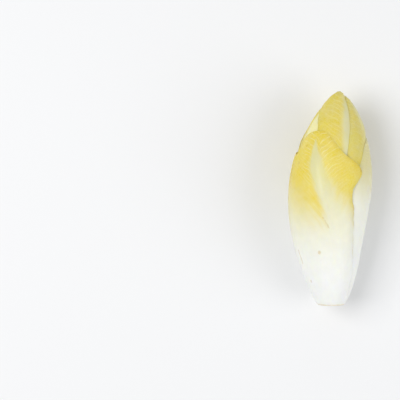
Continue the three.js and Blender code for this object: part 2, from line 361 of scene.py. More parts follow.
def stem_material():
    material, tree, shader = new_material("stem_flesh")
    tree.links.new(with_cut_tone(tree, STEM_FLESH), shader.inputs["Base Color"])
    grain = noise(tree, object_place(tree), 2600, 3)
    tree.links.new(ease(tree, grain, 0.2, 0.8, 0.42, 0.62), shader.inputs["Roughness"])
    bump = add_node(tree, "ShaderNodeBump", {"Height": grain, "Strength": 0.5, "Distance": 0.12 * MM})
    tree.links.new(bump.outputs[0], shader.inputs["Normal"])
    let_light_in(shader, 0.35, (1.0, 0.9, 0.7), 1.2)
    return material


def stem_profile():
    """The stem's rings as height and radius: the cut face, spread a little by the knife, its rounded
    edge, and the side, which stands back from the leaves' feet and closes at the top"""
    foot_radius = middle_radius(0) + STEM_SWELL
    rings = []
    for step in range(1, CUT_RINGS + 1):
        share = step / CUT_RINGS
        hollow = CUT_HOLLOW * math.cos(CUT_HOLLOW_TURN * share)
        rings.append((CUT_HEIGHT + hollow, (foot_radius - CUT_EDGE) * share))
    for step in range(1, CUT_EDGE_RINGS + 1):
        turn = math.pi / 2 * step / CUT_EDGE_RINGS
        height = CUT_HEIGHT + CUT_EDGE * (1 - math.cos(turn))
        rings.append((height, foot_radius - CUT_EDGE * (1 - math.sin(turn))))
    first = CUT_HEIGHT + CUT_EDGE
    for step in range(1, STEM_RINGS):
        height = first + (STEM_HEIGHT - first) * step / STEM_RINGS
        closed = max((height - STEM_CLOSING) / (STEM_HEIGHT - STEM_CLOSING), 0)
        rings.append((height, (middle_radius(height) - STEM_SWELL) * math.sqrt(1 - closed ** 2)))
    return np.array(rings)


def stem_piece():
    rings = stem_profile()
    heights, radii = rings[:, :1], rings[:, 1:]
    azimuths = np.linspace(0, 360, STEM_SIDES, endpoint=False)[None, :]
    across_knife = radii * np.cos(np.radians(azimuths - KNIFE_AZIMUTH))
    marks = KNIFE_MARK * np.sin(across_knife * KNIFE_RIPPLES) * smoothstep(2, 0.5, heights)
    body = place(heights + marks, azimuths, radii + 0 * azimuths).reshape(-1, 3)
    ends = [place(height, 0, 0) for height in (CUT_HEIGHT + CUT_HOLLOW, STEM_HEIGHT)]
    along = np.concatenate([np.repeat(heights[:, 0], STEM_SIDES), [CUT_HEIGHT, STEM_HEIGHT]])
    points = np.concatenate([body, np.stack(ends)])
    return mesh_object("stem_flesh", points, ring_faces(len(rings), STEM_SIDES), {"along": along})


stem = stem_piece()
stem.data.materials.append(stem_material())
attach(stem, "root")
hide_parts("stem_core")


# The fibre strands of the stem. Each leaf's supply runs up the stem in one, and their cut ends stand in
# a ring on the cut face as small tan dots.
STRAND_RING = 4.3
STRAND_COUNT = 22
STRAND_SIZE = 0.62
STRAND_FORM = (1, 0.75, 0.25)
STRAND_LEAST = 0.45
STRAND_STRAYING = 0.5
STRAND_LEVEL = 0.05
STRAND_SEED = 4
STRAND_BROWN = srgb(196, 165, 112)


def realize_with_skin(tree, geometry, skin, result):
    """The end of a tree that makes a piece's mesh"""
    real = add_node(tree, "GeometryNodeRealizeInstances", {"Geometry": geometry})
    coated = add_node(tree, "GeometryNodeSetMaterial", {"Geometry": real.outputs[0], "Material": skin})
    tree.links.new(coated.outputs[0], result["Geometry"])


def shape_by_nodes(piece, tree, values):
    """Gives a piece the mesh that a tree makes of it with these values for its named inputs"""
    modifier = piece.modifiers.new(tree.name, "NODES")
    modifier.node_group = tree
    for item in tree.interface.items_tree:
        if item.item_type == "SOCKET" and item.in_out == "INPUT" and item.name in values:
            modifier[item.identifier] = values[item.name]
    graph = bpy.context.evaluated_depsgraph_get()
    evaluated = piece.evaluated_get(graph)
    mesh = bpy.data.meshes.new_from_object(evaluated, preserve_all_data_layers=True, depsgraph=graph)
    old_mesh = piece.data
    piece.modifiers.clear()
    piece.data = mesh
    bpy.data.meshes.remove(old_mesh)
    mesh.name = piece.name


def strand_tree():
    """Flattened dots near even places on a ring, turned and sized by chance"""
    inputs = {"Ring": "Float", "Count": "Int", "Size": "Float", "Seed": "Int"}
    inputs |= {"Middle": "Vector", "Turn": "Vector", "Skin": "Material"}
    tree, given, result = new_group("strand_ring", "GeometryNodeTree", inputs, {"Geometry": "Geometry"})

    def chance(data_type, least, most):
        first = {"FLOAT_VECTOR": 0, "FLOAT": 2}[data_type]
        limits = {first: least, first + 1: most, "Seed": given["Seed"]}
        return add_node(tree, "FunctionNodeRandomValue", limits, data_type=data_type).outputs[first // 2]

    ring = add_node(tree, "GeometryNodeMeshCircle", {"Vertices": given["Count"], "Radius": given["Ring"]})
    most = STRAND_STRAYING * MM
    astray = chance("FLOAT_VECTOR", (-most, -most, 0), (most, most, 0))
    moved = add_node(tree, "GeometryNodeSetPosition", {"Geometry": ring.outputs[0], "Offset": astray})
    dot = add_node(tree, "GeometryNodeMeshUVSphere", {"Segments": 12, "Rings": 8, "Radius": given["Size"]})
    flat = add_node(tree, "GeometryNodeTransform", {"Geometry": dot.outputs[0], "Scale": STRAND_FORM})
    dots = add_node(
        tree,
        "GeometryNodeInstanceOnPoints",
        {
            "Points": moved.outputs[0],
            "Instance": flat.outputs[0],
            "Rotation": chance("FLOAT_VECTOR", (0, 0, 0), (0, 0, math.pi)),
            "Scale": chance("FLOAT", STRAND_LEAST, 1.0),
        },
    )
    placed = add_node(
        tree,
        "GeometryNodeTransform",
        {"Geometry": dots.outputs[0], "Translation": given["Middle"], "Rotation": given["Turn"]},
    )
    realize_with_skin(tree, placed.outputs[0], given["Skin"], result)
    return tree


def strand_material():
    material, tree, shader = new_material("strand_fibre")
    spot = object_place(tree)
    tone = blend_colours(tree, ease(tree, noise(tree, spot, 1500, 2), 0.3, 0.7), STRAND_BROWN, CUT_FLESH)
    tree.links.new(tone, shader.inputs["Base Color"])
    tree.links.new(ease(tree, noise(tree, spot, 4000, 2), 0.2, 0.8, 0.5, 0.8), shader.inputs["Roughness"])
    return material


strands = mesh_object("stem_strands", np.zeros((1, 3)), [])
shape_by_nodes(
    strands,
    strand_tree(),
    {
        "Ring": STRAND_RING * MM,
        "Count": STRAND_COUNT,
        "Size": STRAND_SIZE * MM,
        "Seed": STRAND_SEED,
        "Middle": tuple(place(STRAND_LEVEL, 0, 0) * MM),
        "Turn": (math.pi / 2 + LEAN, 0, 0),
        "Skin": strand_material(),
    },
)
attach(strands, "root")


# The leaves' places. Four outer and five middle leaves wrap the head in the order given here, outermost
# first, and seven inner ones follow the plant's spiral. Each one takes up room under those outside it.
OUTER_LEAVES = 4
INNER_LEAVES = 7
SPIRAL = 137.5
INNER_START = 5
INNER_FEET = (11, 26)
INNER_TIPS = (136, 121)
INNER_HALF_WIDTHS = (10, 24, 35, 37, 24)
INNER_TWIST = 10

# Each group of leaves: the gap under its blades, the strength of its midribs, and the mesh's fineness.
OUTER = {"gap": 0.25, "rib": 1.0, "columns": 128, "rows": 196}
MIDDLE = {"gap": 0.3, "rib": 0.85, "columns": 96, "rows": 150}
INNER = {"gap": 0.5, "rib": 0.6, "columns": 40, "rows": 60}

# The leaves one by one. A tuple of lengths or azimuths is read at even steps from foot to tip:
# azimuths are the midrib's, left and right the blade's reach from it, rib_left and rib_right that of
# its pale part, soft_left and soft_right how softly that ends. yellow says, for each side, the height
# where the blade starts to turn, how long it takes, and what each millimetre outwards adds to the
# second and the first. loose is how far each margin may stand off, frill how much it is ruffled, and
# browned its brown stretches: side, lowest, highest, strength and width.
LEAVES = [
    {
        "name": "outer_leaf_under", "foot": 0.4, "tip": 106,
        "azimuths": (172, 176, 180, 184, 186),
        "left": (8, 17, 25, 28, 25),
        "right": (8, 17, 25, 28, 25),
    },
    {
        "name": "outer_leaf_front", "foot": 0.4, "tip": 115,
        "azimuths": (25, 21.5, 18, 13.5, 7.8, -1.5, -13, -20.5, -23.5, -33),
        "left": (15, 26, 33, 37, 39, 38, 33.5, 29.5, 28.5, 27),
        "right": (8, 10, 12.6, 13.2, 14.7, 18, 21.6, 34, 20.5, 17),
        "yellow": ((44, 24, 1.25, 0), (70, 46, 0, -1.6)),
        "loose": (1.0, 0.1), "frill": 0.3,
        "rib_left": (9, 8.5, 8, 6.5, 5.2, 4.5, 3.5, 4.2, 6.8, 5.4, 1.2),
        "rib_right": (9, 8, 7, 6, 4.5, 3.6, 4.6, 6.8, 4.2, -1.4, -3),
        "soft_left": (2, 2, 2, 2, 3, 3.5, 2.6, 2.6, 2.2, 1.1, 1),
        "soft_right": (2, 2, 2, 2.4, 2.6, 3, 5, 6.5, 3, 1.2, 1),
        "browned": (
            # The long stretch down the left margin is partly browned edge, partly painted shade where
            # another head lay close.
            (-1, 46, 94, 0.8, 2),
            (1, 26, 50, 0.4, 0.7),
            (1, 50, 76, 0.45, 0.9),
            (-1, 94, 112, 0.3, 0.8),
        ),
    },
    {
        "name": "outer_leaf_right", "foot": 0.6, "tip": 109,
        "azimuths": (112, 110, 108, 105, 102, 100, 98, 96, 92),
        "left": (8, 15, 23, 29, 33, 34.5, 33, 28, 28),
        "right": (8, 13, 17, 21, 24, 26, 26, 25, 22),
        "yellow": ((62, 34, 0, 0), (62, 34, 0, 0)),
        "loose": (0.0, 0.6), "frill": 0.0,
        "browned": ((-1, 100, 112, 0.35, 0.5), (1, 100, 112, 0.35, 0.5)),
    },
    {
        "name": "outer_leaf_left", "foot": 0.8, "tip": 99.5,
        "azimuths": (-128, -124, -119, -111, -102),
        "left": (9, 17, 25, 28, 24),
        "right": (12, 19, 26, 28, 24),
        "browned": (),
    },
    {
        "name": "middle_leaf_right", "foot": 3, "tip": 136.5,
        "azimuths": (62, 66, 73, 82, 90),
        "left": (8, 17, 25, 26, 17),
        "right": (8, 17, 25, 26, 16),
        "yellow": ((58, 30, 0.3, 0), (58, 30, 0.3, 0)),
        "loose": (0.0, 1.0),
        "rib_left": (9, 8, 7, 6, 5, 3), "rib_right": (9, 8, 7, 6, 5, 3),
        "soft_left": (2, 3, 6, 9, 9, 4), "soft_right": (2, 3, 5, 7, 7, 4),
    },
    {
        "name": "middle_leaf_under_left", "foot": 4, "tip": 135,
        "azimuths": (-158, -156, -152, -148, -140),
        "left": (8, 18, 26, 28, 20),
        "right": (8, 18, 26, 25, 10),
    },
    {
        "name": "middle_leaf_front", "foot": 5, "tip": 139.5,
        "azimuths": (4, 9, 14, 17, 19, 19.5, 20.5, 25, 44),
        "left": (8, 13, 18, 22, 26, 27, 25.5, 28.5, 50),
        "right": (8, 13, 18, 22, 26, 27, 27, 25, 24),
        "loose": (1.0, 0.1), "frill": 0.3,
        "rib_left": (8, 7.4, 6.6, 5.4, 4, 2.6, 1.2, 2.2, 3.4, 3.7, 1.2),
        "rib_right": (8, 7.4, 6.6, 5.4, 4, 2.6, 1.6, 2.9, 3.2, 2.2, 0.2),
        "soft_left": (2, 2.6), "soft_right": (2, 2.2),
    },
    {
        "name": "middle_leaf_left", "foot": 7, "tip": 137.5,
        "azimuths": (-76, -74, -68, -54, -42),
        "left": (8, 18, 27, 28, 22),
        "right": (8, 18, 27, 29, 24),
        "rib_left": (9, 8, 7, 6.5, 8, 4), "rib_right": (9, 8, 7, 6, 6, 3),
    },
    {
        "name": "middle_leaf_under_right", "foot": 9, "tip": 138,
        "azimuths": (142, 144, 148, 150, 158),
        "left": (9, 20, 29, 31, 24),
        "right": (9, 20, 29, 31, 24),
    },
]
USUAL_YELLOW = ((46, 28, 0.9, 0), (46, 28, 0.9, 0))
USUAL_LOOSE = (1.0, 1.0)
USUAL_FRILL = 0.15
USUAL_RIB = (9, 8, 6.5, 5, 3.2, 0.6)
USUAL_SOFTNESS = (2, 1.6)
USUAL_BROWNED = ((-1, 60, 140, 0.2, 0.6), (1, 60, 140, 0.2, 0.6))

BLADE_THICKNESS = 1.1
MARGIN_THICKNESS = 0.72
RIB_THICKNESS = 3.1
RIB_HALF_WIDTH = 9
RIB_TIP_HALF_WIDTH = 1.6
TIP_ROUNDING_START = 0.6
TIP_ROUNDING = 2.2
TIP_HALF_WIDTH = 1.2
ROW_CROWDING = 0.8
MARGIN_WAVE = 0.2
MARGIN_WAVE_LENGTH = 11
COVER_FALL = 0.32
MARGIN_ROOM = 0.45
STEEPEST = 2.3
SQUEEZE_SHARPNESS = 6
OVAL = 0.012
UNDER_FULLNESS = 0.6
OUTLINE_STEPS = 28

for number in range(INNER_LEAVES):
    part = number / (INNER_LEAVES - 1)
    azimuth = INNER_START + SPIRAL * number
    LEAVES.append(
        {
            "name": f"inner_leaf_{number + 1}",
            "foot": INNER_FEET[0] + (INNER_FEET[1] - INNER_FEET[0]) * part,
            "tip": INNER_TIPS[0] + (INNER_TIPS[1] - INNER_TIPS[0]) * part,
            "azimuths": (azimuth, azimuth + INNER_TWIST),
            "left": INNER_HALF_WIDTHS,
            "right": INNER_HALF_WIDTHS,
        }
    )
for number, leaf in enumerate(LEAVES):
    leaf["group"] = OUTER if number < OUTER_LEAVES else MIDDLE if "middle" in leaf["name"] else INNER


def head_radius(height, azimuth):
    """The closed head's radius, very slightly oval and fullest underneath"""
    oval = np.cos(2 * np.radians(azimuth)) + UNDER_FULLNESS * np.cos(3 * np.radians(azimuth - 180))
    return plain_radius(height) * (1 + OVAL * oval)


def slant_factor(height):
    """How much longer a blade's thickness is along the radius than square to the sloping surface"""
    slope = plain_radius(height + 0.5) - plain_radius(np.maximum(height - 0.5, 0))
    return np.minimum(STEEPEST, np.hypot(1, slope))


def along_share(leaf, height):
    return np.clip((height - leaf["foot"]) / (leaf["tip"] - leaf["foot"]), 0, 1)


def midrib_azimuth(leaf, height):
    return smooth_through(leaf["azimuths"], along_share(leaf, height))


def half_width(leaf, side, height):
    """How far the blade reaches to one side of its midrib, rounded off towards the tip, gently waved"""
    share = along_share(leaf, height)
    late = np.maximum(share - TIP_ROUNDING_START, 0) / (1 - TIP_ROUNDING_START)
    rounding = (1 - np.minimum(late, 1) ** TIP_ROUNDING) ** (1 / TIP_ROUNDING)
    turn = 2 * math.pi * height / MARGIN_WAVE_LENGTH + leaf["foot"] + leaf["tip"]
    wave = MARGIN_WAVE * np.sin(turn) * np.sin(math.pi * share)
    return smooth_through(leaf[side], share) * rounding + wave


def row_height(leaf, share):
    """Rows of points stand closer together near the foot and the tip"""
    eased = (1 - np.cos(math.pi * share)) / 2
    crowded = share + (eased - share) * ROW_CROWDING
    return leaf["foot"] + (leaf["tip"] - leaf["foot"]) * crowded


def margin_points(leaf):
    """The blade's margin as corner points, distance from the midrib by height"""
    heights = row_height(leaf, np.linspace(0, 1, OUTLINE_STEPS + 1))
    left = -np.maximum(half_width(leaf, "left", heights), TIP_HALF_WIDTH)
    right = np.maximum(half_width(leaf, "right", heights), TIP_HALF_WIDTH)
    up = np.stack([left, heights], axis=1)
    down = np.stack([right, heights], axis=1)[::-1]
    return np.concatenate([up, down])


def across_from(leaf, height, azimuth):
    """Distance round the head from a leaf's midrib, negative to its left"""
    turn = azimuth - midrib_azimuth(leaf, height)
    return np.radians(turn - 360 * np.round(turn / 360)) * plain_radius(height)


def reach_at(leaf, height, across):
    sides = half_width(leaf, "left", height), half_width(leaf, "right", height)
    return np.maximum(np.where(across < 0, *sides), TIP_HALF_WIDTH)


def cover_of(leaf, height, azimuth):
    """1 where the leaf lies, falling smoothly to 0 a little way outside its margin, where the leaves
    beneath it swell back out to the head's outline"""
    across = across_from(leaf, height, azimuth)
    inside = (height >= leaf["foot"]) & (height <= leaf["tip"])
    inside &= np.abs(across) <= reach_at(leaf, height, across)
    cover = np.ones_like(height)
    x, y = across[~inside][:, None], height[~inside][:, None]
    start = margin_points(leaf)
    step = np.roll(start, -1, axis=0) - start
    length = np.maximum((step ** 2).sum(axis=1), 1e-9)
    share = np.clip(((x - start[:, 0]) * step[:, 0] + (y - start[:, 1]) * step[:, 1]) / length, 0, 1)
    away = np.hypot(x - start[:, 0] - share * step[:, 0], y - start[:, 1] - share * step[:, 1]).min(axis=1)
    outside = np.maximum(away - MARGIN_ROOM, 0)
    cover[~inside] = 1 - smoothstep(0, 1, outside / (COVER_FALL * plain_radius(y[:, 0])))
    return cover


def rib_thickness(leaf, share, across):
    """Extra thickness of the midrib, strongest a little above the foot and gone at the tip"""
    rise = smoothstep(-0.06, 0.16, share)
    width = RIB_HALF_WIDTH + (RIB_TIP_HALF_WIDTH - RIB_HALF_WIDTH) * share ** 0.8
    strength = leaf["group"]["rib"] * RIB_THICKNESS * rise * (1 - share) ** 1.1
    return strength * np.exp(-((across / width) ** 2))


def blade_thickness(leaf, height, azimuth):
    across = across_from(leaf, height, azimuth)
    edge = np.minimum(np.abs(across) / reach_at(leaf, height, across), 1) ** 4
    blade = BLADE_THICKNESS + (MARGIN_THICKNESS - BLADE_THICKNESS) * edge
    return blade + rib_thickness(leaf, along_share(leaf, height), across)


def layers_at(height, azimuth):
    """The layers of leaf at places on the head, from the outline inwards. Where they would need more
    room than there is round the stem, they are all squeezed alike."""
    slant = slant_factor(height)
    depth = np.zeros_like(height)
    bare = np.ones_like(height)
    layers = []
    for leaf in LEAVES:
        cover = cover_of(leaf, height, azimuth)
        thickness = blade_thickness(leaf, height, azimuth) * slant
        layers.append({"depth": depth.copy(), "thickness": thickness, "bare": bare.copy()})
        depth += cover * (thickness + leaf["group"]["gap"] * slant)
        bare *= 1 - cover
    radius = head_radius(height, azimuth)
    crowding = depth / (radius - middle_radius(height))
    squeeze = (1 + crowding ** SQUEEZE_SHARPNESS) ** (-1 / SQUEEZE_SHARPNESS)
    return layers, radius, depth, squeeze


# A leaf. Each is one thin blade with a thick fleshy midrib, cupped round the head. Its margin is thinner
# still, wavy, and lies on the leaf beneath. Its side veins and the puckers between them are raised by
# nodes that follow the blade.
EDGE_THINNING = 0.75
EDGE_WIDTH = 4
HUG_WIDTH = 9
HUG = 0.95
UNHUG = 0.25
MARGIN_LIFT = 0.3
CRINKLE = 0.2
LEAST_REACH = 0.25
TIP_MARGIN = 1.3
RIB_BULGE = 0.35
TIP_FLARE = 0.25
SIDES_BLEND = 6
WAVE_SLANT = 0.35
FRILL_SLANT = 0.5
FRILL_RISE = 0.3
FURROW = 0.5
FURROW_WIDTH = 3.2
LEAST_SPAN = 14
AGE_FADE = 6
VEIN_SPACING = 4.3
VEIN_HEIGHT = 0.17
VEIN_DRIFT = 6.5
VEIN_SHIFT = 0.2
NET_FINENESS = 0.75
STREAK_LENGTH = 30.0
PUCKER_HEIGHT = 0.42
PUCKER_SIZE = 4.2
PUCKER_FLATNESS = 1.25
RIDGE_HEIGHT = 0.16
RIDGE_WIDTH = 1.5
RIDGE_LENGTH = 60
NOISE_TOP = 0.7

# Where each of these begins and where it is full: shares of the leaf's height from foot to tip, and for
# the relief millimetres from the margin.
FURROW_RISE = (0.15, 0.5)
FRILL_GROWTH = (0.5, 0.9)
FLARE_GROWTH = (0.82, 1)
MIDRIB_END = (1.02, 0.93)
RELIEF_RISE = (0.2, 4.5)

# How steeply side veins climb, by the share of the leaf's height, and how strong they are, by the way
# from the midrib: from where, to where, and the values there.
VEIN_STEEPNESS = (0.5, 1.05, 15.0, 2.0)
VEIN_FADING = (6, 21, 1.0, 0.18)

# The uneven waves along a leaf's margin: what is added to its number as the seed, and the wavelengths.
RIPPLES = {
    "left crinkle": (0, (3.1, 4.7, 7.3)),
    "right crinkle": (50, (2.9, 5.1, 6.7)),
    "lift": (9, (17, 27, 41)),
    "frill": (70, (2.7, 3.9, 5.6)),
    "browning_and_shade": (30, (5.3, 8.9, 14.2)),
}

# The side veins, and weaker ones between them: how many a spacing, where on the wave a vein begins and
# where it is full, and its strength.
VEIN_LINES = ((1.0, 0.6, 0.95, 1.0), (2.0, 0.7, 0.98, 0.16))


def ripple(kind, index, height):
    """An uneven wave along a leaf's margin, from -1 to 1"""
    seed, lengths = RIPPLES[kind]
    phases = np.random.default_rng(index + seed).uniform(0, 2 * math.pi, len(lengths))
    waves = [np.sin(2 * math.pi * height / length + phase) for length, phase in zip(lengths, phases)]
    return sum(waves) / len(lengths)


def midrib_edges(leaf, share):
    """How far the pale midrib reaches to the left and to the right"""
    return (smooth_through(leaf.get(key, USUAL_RIB), share) for key in ("rib_left", "rib_right"))


def margin_lift(index, height, across, share, hug, bare, room):
    """How far a blade is moved outwards near its margin. It lies on the leaf beneath, and where it is
    loose and bare it stands off in waves and is ruffled."""
    leaf = LEAVES[index]
    loose_left, loose_right = leaf.get("loose", USUAL_LOOSE)
    loose = loose_left + (loose_right - loose_left) * smoothstep(-SIDES_BLEND, SIDES_BLEND, across)
    wave = np.maximum(ripple("lift", index, height + WAVE_SLANT * across), 0) * loose
    lift = bare * MARGIN_LIFT * hug ** 3 * wave - HUG * room * hug * (1 - UNHUG * bare * wave)
    rib_left, rib_right = midrib_edges(leaf, share)
    furrows = np.exp(-(((across + rib_left) / FURROW_WIDTH) ** 2))
    furrows = furrows + np.exp(-(((across - rib_right) / FURROW_WIDTH) ** 2))
    lift = lift - bare * FURROW * furrows * smoothstep(*FURROW_RISE, share) * (1 - hug)
    frill = ripple("frill", index, height - FRILL_SLANT * across) * smoothstep(*FRILL_GROWTH, share)
    ruffle = bare * leaf.get("frill", USUAL_FRILL) * loose * hug ** 2 * np.maximum(frill + FRILL_RISE, 0)
    return lift + ruffle


def yellowing(leaf, height, across, share):
    """0 on white flesh and on the midrib, 1 on the yellow blade"""
    rib_left, rib_right = midrib_edges(leaf, share)
    soft_left, soft_right = (
        smooth_through(leaf.get(key, USUAL_SOFTNESS), share) for key in ("soft_left", "soft_right")
    )
    rib = smoothstep(rib_right + soft_right, rib_right - soft_right, across)
    left = smoothstep(-rib_left - soft_left, -rib_left + soft_left, across)
    rib *= left * smoothstep(*MIDRIB_END, share)
    first_yellow, span, spread, slant_of_yellow = (
        np.where(across < 0, *values) for values in zip(*leaf.get("yellow", USUAL_YELLOW))
    )
    first_yellow = first_yellow + slant_of_yellow * np.abs(across)
    span = np.maximum(span + spread * np.abs(across), LEAST_SPAN)
    return smoothstep(0, 1, (height - first_yellow) / span) * (1 - rib)


def browning_and_shade(index, height, across, margin):
    """How brown the margin is. On the front leaf's left it is partly painted shade."""
    aged = np.zeros_like(across)
    uneven = 0.65 + 0.35 * ripple("browning_and_shade", index, height)
    for side, low, high, strength, width in LEAVES[index].get("browned", USUAL_BROWNED):
        stretch = smoothstep(low, low + AGE_FADE, height) * smoothstep(high, high - AGE_FADE, height)
        patch = strength * stretch * uneven * (1 - smoothstep(0.3 * width, 1.7 * width, margin))
        aged = np.maximum(aged, np.where(across * side > 0, patch, 0))
    return aged


def leaf_sheet(index):
    """A leaf's outer and inner surface, joined at the rim, with the values its pattern follows"""
    leaf = LEAVES[index]
    rows, columns = leaf["group"]["rows"], leaf["group"]["columns"]
    grid_height = np.repeat(row_height(leaf, np.linspace(0, 1, rows + 1))[:, None], columns + 1, axis=1)
    side = np.linspace(-1, 1, columns + 1)[None, :]
    crinkles = (ripple(kind, index, grid_height) for kind in ("left crinkle", "right crinkle"))
    crinkle = CRINKLE * np.where(side < 0, *crinkles)
    widths = (half_width(leaf, key, grid_height) for key in ("left", "right"))
    reach = np.where(side < 0, *widths) + crinkle * np.sin(math.pi * along_share(leaf, grid_height))
    reach = np.maximum(reach, LEAST_REACH)
    across = (side * reach).ravel()
    height = grid_height.ravel()
    azimuth = midrib_azimuth(leaf, height) + np.degrees(across / plain_radius(height))
    share = along_share(leaf, height)
    margin = np.minimum(((1 - np.abs(side)) * reach).ravel(), (leaf["tip"] - height) * TIP_MARGIN)

    layers, radius, _, squeeze = layers_at(height, azimuth)
    depth, thickness, bare = (layers[index][key] for key in ("depth", "thickness", "bare"))
    thin = thickness * (1 - EDGE_THINNING * (1 - smoothstep(0, EDGE_WIDTH, margin)))
    hug = (1 - smoothstep(0, HUG_WIDTH, margin)) * smoothstep(0, 0.1, share)
    room = squeeze * (thickness - thin + leaf["group"]["gap"] * slant_factor(height))
    lift = margin_lift(index, height, across, share, hug, bare, room)
    bulge = RIB_BULGE * rib_thickness(leaf, share, across)
    flare = TIP_FLARE * sum(leaf.get("loose", USUAL_LOOSE)) / 2 * smoothstep(*FLARE_GROWTH, share)
    outer = place(height, azimuth, radius - squeeze * depth + bare * (bulge + flare) + lift)
    inner = place(height, azimuth, radius - squeeze * (depth + thin) + bare * flare + lift)

    values = {
        "across": across,
        "along": height,
        "margin": margin,
        "bare": bare,
        "blade": yellowing(leaf, height, across, share),
        "aged": browning_and_shade(index, height, across, margin),
        "outward": (outer - inner) / np.linalg.norm(outer - inner, axis=1, keepdims=True),
    }
    doubled = {name: np.concatenate([value, value]) for name, value in values.items()}
    points = np.concatenate([outer, inner])
    piece = mesh_object(f"fine_{leaf['name']}", points, sheet_faces(rows, columns), doubled)
    smooth = np.ones(len(piece.data.polygons), bool)
    smooth[-2 * (rows + columns):] = False
    piece.data.polygons.foreach_set("use_smooth", smooth)
    return piece


def sheet_faces(rows, columns):
    """Faces of a closed sheet between two grids of points alike, outer grid first, its rim last"""
    stride = columns + 1
    inner = (rows + 1) * stride
    corner = (np.arange(rows)[:, None] * stride + np.arange(columns)[None, :]).ravel()
    quads = np.stack([corner, corner + 1, corner + stride + 1, corner + stride], axis=1)
    turned = quads[:, ::-1] + inner
    foot = np.arange(columns)
    right = np.arange(rows) * stride + columns
    tip = rows * stride + np.arange(columns, 0, -1)
    left = np.arange(rows, 0, -1) * stride
    rim = np.concatenate([foot, right, tip, left])
    after = np.roll(rim, -1)
    band = np.stack([rim, rim + inner, after + inner, after], axis=1)
    return np.concatenate([quads, turned, band]).tolist()


def side_vein_group(kind):
    """Side veins as curved lines that leave the midrib steeply and bend outwards, less steeply near the
    leaf's top, with weaker ones between them, and the fine net that joins them"""
    group, given, result = new_group(
        f"side_veins_{'shape' if kind.startswith('Geometry') else 'colour'}",
        kind,
        {"Across": "Float", "Along": "Float", "Top": "Float", "Spacing": "Float", "Seed": "Float"},
        {"Vein": "Float", "Net": "Float", "Streak": "Float"},
    )
    out = calculate(group, "ABSOLUTE", given["Across"])
    side = calculate(group, "SIGN", given["Across"])
    where = vector(group, given["Across"], given["Along"], given["Seed"])
    drift = product(group, less(group, noise(group, where, 0.13, 1), 0.5), VEIN_DRIFT)
    outwards = less(group, calculate(group, "SQRT", total(group, out, 1.0)), 1.0)
    steepness = ease(group, ratio(group, given["Along"], given["Top"]), *VEIN_STEEPNESS)
    level = total(group, less(group, given["Along"], product(group, outwards, steepness)), drift)
    phase = total(group, ratio(group, level, given["Spacing"]), product(group, side, VEIN_SHIFT))
    masks = []
    for repeats, begins, full, strength in VEIN_LINES:
        wave = calculate(group, "FRACT", product(group, phase, repeats))
        crest = product(group, calculate(group, "ABSOLUTE", less(group, wave, 0.5)), 2.0)
        masks.append(ease(group, crest, begins, full, 0.0, strength))
    vein = calculate(group, "MAXIMUM", *masks)
    fading = ease(group, out, *VEIN_FADING)
    patchy = product(group, ease(group, noise(group, where, 0.21, 2), 0.3, 0.6), fading)
    group.links.new(product(group, vein, patchy), result["Vein"])
    cell_inputs = {"Vector": where, "Scale": NET_FINENESS}
    cells = add_node(group, "ShaderNodeTexVoronoi", cell_inputs, feature="DISTANCE_TO_EDGE")
    group.links.new(ease(group, cells.outputs["Distance"], 0.16, 0.02), result["Net"])
    band = vector(group, ratio(group, out, STREAK_LENGTH), phase, given["Seed"])
    uneven = ease(group, noise(group, band, 0.6, 2), 0.3, 0.7, -1.0, 1.0)
    group.links.new(product(group, uneven, fading), result["Streak"])
    return group


side_veins_shape = side_vein_group("GeometryNodeTree")
side_veins_colour = side_vein_group("ShaderNodeTree")


def relief_tree():
    """Raises the side veins, the puckers of the blade and the long ridges of the white flesh. The
    highest of each is at the plain surface, so the relief lies inside it."""
    numbers = ("Vein Height", "Vein Spacing", "Pucker Height", "Pucker Size", "Ridge Height", "Top", "Seed")
    inputs = {"Geometry": "Geometry", **{label: "Float" for label in numbers}, "Skin": "Material"}
    tree, given, result = new_group("leaf_relief", "GeometryNodeTree", inputs, {"Geometry": "Geometry"})

    def stored(name, data_type="FLOAT"):
        label = {"Name": name}
        return add_node(tree, "GeometryNodeInputNamedAttribute", label, data_type=data_type).outputs[0]

    across, along, blade = stored("across"), stored("along"), stored("blade")
    vein = place_group(
        tree,
        side_veins_shape,
        {
            "Across": across,
            "Along": along,
            "Top": given["Top"],
            "Spacing": given["Vein Spacing"],
            "Seed": given["Seed"],
        },
    )["Vein"]
    raised = product(tree, less(tree, vein, 1.0), given["Vein Height"])
    wide = ratio(tree, across, given["Pucker Size"])
    tall = ratio(tree, product(tree, along, PUCKER_FLATNESS), given["Pucker Size"])
    blister = less(tree, noise(tree, vector(tree, wide, tall, given["Seed"]), 1.0, 1.5), NOISE_TOP)
    puckered = product(tree, blister, given["Pucker Height"])
    leafy = product(tree, total(tree, raised, puckered), blade)
    line = vector(tree, ratio(tree, across, RIDGE_WIDTH), ratio(tree, along, RIDGE_LENGTH), given["Seed"])
    ridge = product(tree, less(tree, noise(tree, line, 1.0, 2.0), NOISE_TOP), given["Ridge Height"])
    height = total(tree, leafy, product(tree, ridge, less(tree, 1.0, blade)))
    inside = ease(tree, stored("margin"), *RELIEF_RISE)
    metres = product(tree, height, inside, stored("bare"), MM)
    push = {0: stored("outward", "FLOAT_VECTOR"), "Scale": metres}
    offset = add_node(tree, "ShaderNodeVectorMath", push, operation="SCALE").outputs[0]
    moved = add_node(tree, "GeometryNodeSetPosition", {"Geometry": given["Geometry"], "Offset": offset})
    realize_with_skin(tree, moved.outputs[0], given["Skin"], result)
    return tree


leaf_relief = relief_tree()


